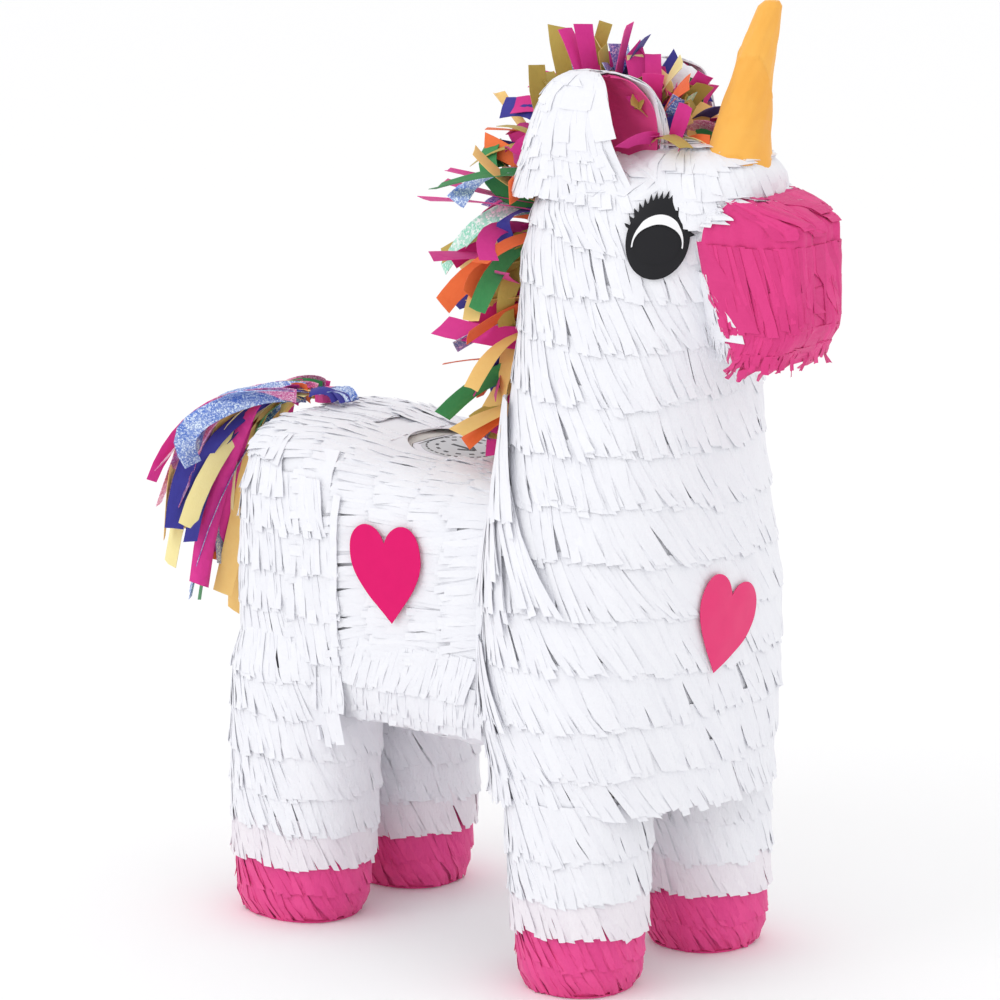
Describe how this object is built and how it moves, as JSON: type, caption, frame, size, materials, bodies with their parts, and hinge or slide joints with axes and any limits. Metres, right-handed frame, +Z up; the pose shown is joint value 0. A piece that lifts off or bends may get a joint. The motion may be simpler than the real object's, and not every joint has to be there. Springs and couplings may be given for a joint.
{
  "type": "pinata",
  "caption": "Standing unicorn pinata: card shell under white and pink crepe fringe, with a horn, ears, streamer mane and tail, a fill flap and a hanging ring.",
  "frame": {"origin": "on the floor, under the middle of the whole length and width", "axes": "+X towards the muzzle, +Y to the pinata's left, +Z up"},
  "size_m": [0.4659, 0.192, 0.56],
  "materials": {
    "card": "raw grey card",
    "white_crepe": "matte crepe paper",
    "pink_crepe": "matte crepe paper",
    "gold_tissue": "matte tissue, wrapped and glued",
    "heart_foil": "satin sticker",
    "eye_vinyl": "satin sticker",
    "label_paper": "printed paper label",
    "hanger_wire": "bright wire",
    "streamer_paper": "tissue and glitter film streamers in many colours"
  },
  "bodies": {
    "body": {"back_panel": "card", "back_paper": "white_crepe", "barrel_side_left": "card", "barrel_side_right": "card", "belly_panel": "card", "belly_paper": "white_crepe", "chest_floor": "card", "chest_paper": "white_crepe", "chest_tube": "card", "ear_card_left": "card", "ear_card_right": "card", "ear_lining_left": "pink_crepe", "ear_lining_right": "pink_crepe", "ear_paper_left": "white_crepe", "ear_paper_right": "white_crepe", "eye_left": "eye_vinyl", "eye_right": "eye_vinyl", "hanger_eye": "hanger_wire", "hanger_washer": "card", "head_paper": "white_crepe", "head_shell": "card", "heart_chest": "heart_foil", "heart_left": "heart_foil", "heart_right": "heart_foil", "hoof_paper_front_left": "pink_crepe", "hoof_paper_front_right": "pink_crepe", "hoof_paper_hind_left": "pink_crepe", "hoof_paper_hind_right": "pink_crepe", "horn_cone": "card", "horn_paper": "gold_tissue", "leg_paper_front_left": "white_crepe", "leg_paper_front_right": "white_crepe", "leg_paper_hind_left": "white_crepe", "leg_paper_hind_right": "white_crepe", "leg_tube_front_left": "card", "leg_tube_front_right": "card", "leg_tube_hind_left": "card", "leg_tube_hind_right": "card", "mane_left": "streamer_paper", "mane_right": "streamer_paper", "muzzle_paper": "pink_crepe", "muzzle_shell": "card", "neck_paper": "white_crepe", "neck_tube": "card", "rump_panel": "card", "rump_paper": "white_crepe", "side_paper_left": "white_crepe", "side_paper_right": "white_crepe", "sole_disc_front_left": "card", "sole_disc_front_right": "card", "sole_disc_hind_left": "card", "sole_disc_hind_right": "card", "tail_tape": "pink_crepe"},
    "fill_flap": {"fill_flap": "card", "fill_label": "label_paper"},
    "hanger_ring": {"hanger_ring": "hanger_wire"},
    "tail": {"tail_streamers": "streamer_paper"}
  },
  "joints": [
    {"name": "fill_flap_fold", "type": "hinge", "parent": "body", "child": "fill_flap", "pos_m": [-0.04691, 0, 0.28197], "axis": [0, -1, 0], "range_deg": [0, 95]},
    {"name": "hanger_swing", "type": "hinge", "parent": "body", "child": "hanger_ring", "pos_m": [0.104, 0, 0.476], "axis": [0, 1, 0], "range_deg": [0, 216]},
    {"name": "tail_lift", "type": "hinge", "parent": "body", "child": "tail", "pos_m": [-0.136, 0, 0.2975], "axis": [0, 1, 0], "range_deg": [0, 40]}
  ]
}
